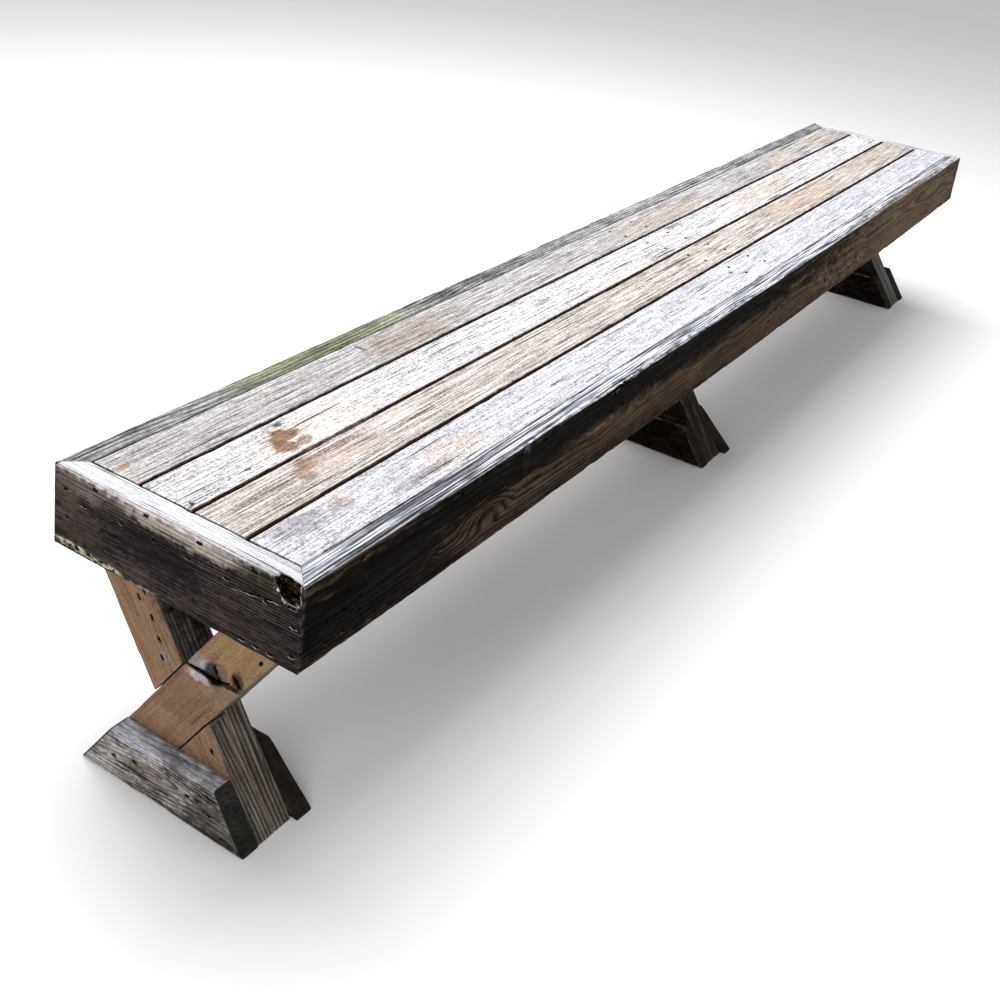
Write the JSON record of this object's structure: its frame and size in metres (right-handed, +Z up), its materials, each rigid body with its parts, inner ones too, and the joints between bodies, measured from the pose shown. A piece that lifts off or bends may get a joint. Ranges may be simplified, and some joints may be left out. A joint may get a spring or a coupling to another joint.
{
  "type": "garden bench",
  "caption": "Long weathered timber bench: a slatted seat inside a mitred frame of boards, standing on crossed leg sets with foot boards.",
  "frame": {"origin": "on the ground under the middle of the seat, at the bottom centre of the whole bench", "axes": "+X along the length of the bench, +Y across it from its front to its back, +Z up"},
  "size_m": [3.3, 0.48, 0.505],
  "materials": {
    "seat_slats": "bleached silver-grey, raised grain",
    "side_boards": "weathered dark brown, grey on top",
    "end_boards": "weathered charcoal grey",
    "legs": "weathered tan brown",
    "foot_boards": "weathered brown, mossy ends",
    "inner_boards": "aged, dark brown",
    "nails": "rusty"
  },
  "bodies": {
    "root": {"bearer_end_nails": "nails", "bearer_face_nails": "nails", "corner_nails": "nails", "cross_batten_left": "inner_boards", "cross_batten_right": "inner_boards", "end_batten_left": "inner_boards", "end_batten_nails": "nails", "end_batten_right": "inner_boards", "end_fascia_left": "end_boards", "end_fascia_right": "end_boards", "foot_nails": "nails", "left_set_foot_board_1": "foot_boards", "left_set_foot_board_2": "foot_boards", "left_set_leg_1": "legs", "left_set_leg_2": "legs", "left_set_packer_1_lower": "legs", "left_set_packer_1_upper": "legs", "left_set_packer_2_lower": "legs", "left_set_packer_2_upper": "legs", "leg_nails": "nails", "leg_side_nails": "nails", "leg_top_nails": "nails", "middle_set_foot_board_1": "foot_boards", "middle_set_foot_board_2": "foot_boards", "middle_set_leg_1": "legs", "middle_set_leg_2": "legs", "middle_set_packer_1_lower": "legs", "middle_set_packer_1_upper": "legs", "middle_set_packer_2_lower": "legs", "middle_set_packer_2_upper": "legs", "right_set_foot_board_1": "foot_boards", "right_set_foot_board_2": "foot_boards", "right_set_leg_1": "legs", "right_set_leg_2": "legs", "right_set_packer_1_lower": "legs", "right_set_packer_1_upper": "legs", "right_set_packer_2_lower": "legs", "right_set_packer_2_upper": "legs", "seat_slat_1": "seat_slats", "seat_slat_2": "seat_slats", "seat_slat_3": "seat_slats", "seat_slat_4": "seat_slats", "side_fascia_back": "side_boards", "side_fascia_front": "side_boards", "slat_edge_nails": "nails", "slat_end_nails": "nails", "slat_face_nails": "nails", "slat_under_nails": "nails", "top_bearer_left": "inner_boards", "top_bearer_middle_1": "inner_boards", "top_bearer_middle_2": "inner_boards", "top_bearer_right": "inner_boards"}
  },
  "joints": []
}
